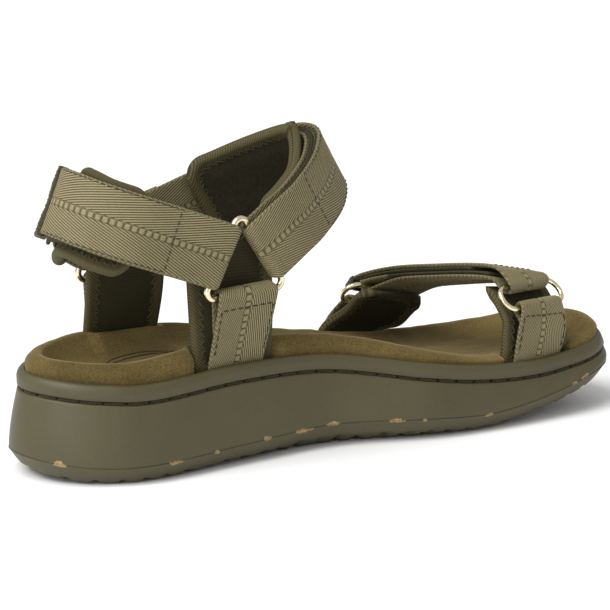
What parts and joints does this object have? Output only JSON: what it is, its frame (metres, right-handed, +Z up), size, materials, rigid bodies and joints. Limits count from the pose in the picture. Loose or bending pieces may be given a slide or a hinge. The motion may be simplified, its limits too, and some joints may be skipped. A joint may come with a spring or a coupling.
{
  "type": "strappy sport sandal",
  "caption": "Left women's sport sandal: platform foam sole, suede footbed, webbing straps on neoprene pads, hook-and-loop flaps through gold rings.",
  "frame": {"origin": "on the ground under the middle of the heel seat, at the tread's rest face", "axes": "+X from heel to toe, +Y to the outer (lateral) side, +Z up"},
  "size_m": [0.27, 0.0915, 0.1263],
  "materials": {
    "rubber_sole": "matt moulded rubber with flecks",
    "foam": "smooth matt moulded foam",
    "thread": "coarse waxed thread",
    "board": "fibre board",
    "cushion": "open-cell foam",
    "suede": "brushed suede",
    "neoprene": "knit-faced neoprene with bound edges",
    "webbing": "herringbone webbing with a ribbed middle",
    "gold_wire": "pale gold plating",
    "loop_tape": "soft loop face",
    "hook_tape": "fine hook face"
  },
  "bodies": {
    "sole_and_side_straps": {"outsole": "rubber_sole", "midsole": "foam", "rim_band": "foam", "groove_stitching": "thread", "insole_board": "board", "footbed_core": "cushion", "footbed_cover": "suede", "medial_ankle_lining": "neoprene", "medial_ankle_webbing": "webbing", "lateral_ankle_lining": "neoprene", "lateral_ankle_webbing": "webbing", "medial_toe_lining": "neoprene", "medial_toe_tab": "webbing", "lateral_toe_lining": "neoprene", "lateral_toe_tab": "webbing", "toe_strap_webbing": "webbing", "toe_loop_tape": "loop_tape"},
    "medial_ankle_ring": {"medial_ankle_ring": "gold_wire"},
    "lateral_ankle_ring": {"lateral_ankle_ring": "gold_wire"},
    "medial_toe_ring": {"medial_toe_ring": "gold_wire"},
    "lateral_toe_ring": {"lateral_toe_ring": "gold_wire"},
    "heel_strap": {"heel_pad": "neoprene", "heel_strap_webbing": "webbing", "heel_loop_tape": "loop_tape"},
    "heel_flap": {"heel_flap_webbing": "webbing", "heel_hook_tape": "hook_tape"},
    "instep_strap": {"instep_pad": "neoprene", "instep_strap_webbing": "webbing", "instep_loop_tape": "loop_tape"},
    "instep_flap": {"instep_flap_webbing": "webbing", "instep_hook_tape": "hook_tape"},
    "toe_flap": {"toe_flap_webbing": "webbing", "toe_hook_tape": "hook_tape"}
  },
  "joints": [
    {"name": "medial_ankle_ring_tilt", "type": "hinge", "parent": "sole_and_side_straps", "child": "medial_ankle_ring", "pos_m": [0.04049, -0.03, 0.06607], "axis": [0.9979, 0, 0.0645], "range_deg": [-0.8, 0.8]},
    {"name": "lateral_ankle_ring_tilt", "type": "hinge", "parent": "sole_and_side_straps", "child": "lateral_ankle_ring", "pos_m": [0.01619, 0.03, 0.06637], "axis": [0.9979, 0, 0.0645], "range_deg": [-0.8, 0.8]},
    {"name": "medial_toe_ring_tilt", "type": "hinge", "parent": "sole_and_side_straps", "child": "medial_toe_ring", "pos_m": [0.17952, -0.03108, 0.04672], "axis": [0.9694, 0.2435, -0.0297], "range_deg": [-0.6, 0.6]},
    {"name": "lateral_toe_ring_tilt", "type": "hinge", "parent": "sole_and_side_straps", "child": "lateral_toe_ring", "pos_m": [0.14168, 0.03819, 0.03887], "axis": [0.9487, 0.1338, -0.2865], "range_deg": [-0.6, 0.6]},
    {"name": "heel_strap_swing", "type": "hinge", "parent": "sole_and_side_straps", "child": "heel_strap", "pos_m": [0.03025, -0.03, 0.08142], "axis": [0.3754, -0.9269, -0.0046], "range_deg": [-1.5, 1.5]},
    {"name": "instep_strap_swing", "type": "hinge", "parent": "sole_and_side_straps", "child": "instep_strap", "pos_m": [0.04866, -0.03, 0.08261], "axis": [0.3754, -0.9269, -0.0046], "range_deg": [-1.5, 1.5]},
    {"name": "heel_flap_peel", "type": "hinge", "parent": "heel_strap", "child": "heel_flap", "pos_m": [0.03025, -0.03, 0.08142], "axis": [0.4431, 0, 0.8965], "range_deg": [0, 85]},
    {"name": "instep_flap_peel", "type": "hinge", "parent": "instep_strap", "child": "instep_flap", "pos_m": [0.04866, -0.03, 0.08261], "axis": [0.5548, 0, -0.832], "range_deg": [0, 85]},
    {"name": "toe_flap_peel", "type": "hinge", "parent": "sole_and_side_straps", "child": "toe_flap", "pos_m": [0.178, -0.024, 0.055], "axis": [0.9694, 0.2435, -0.0297], "range_deg": [0, 85]}
  ]
}
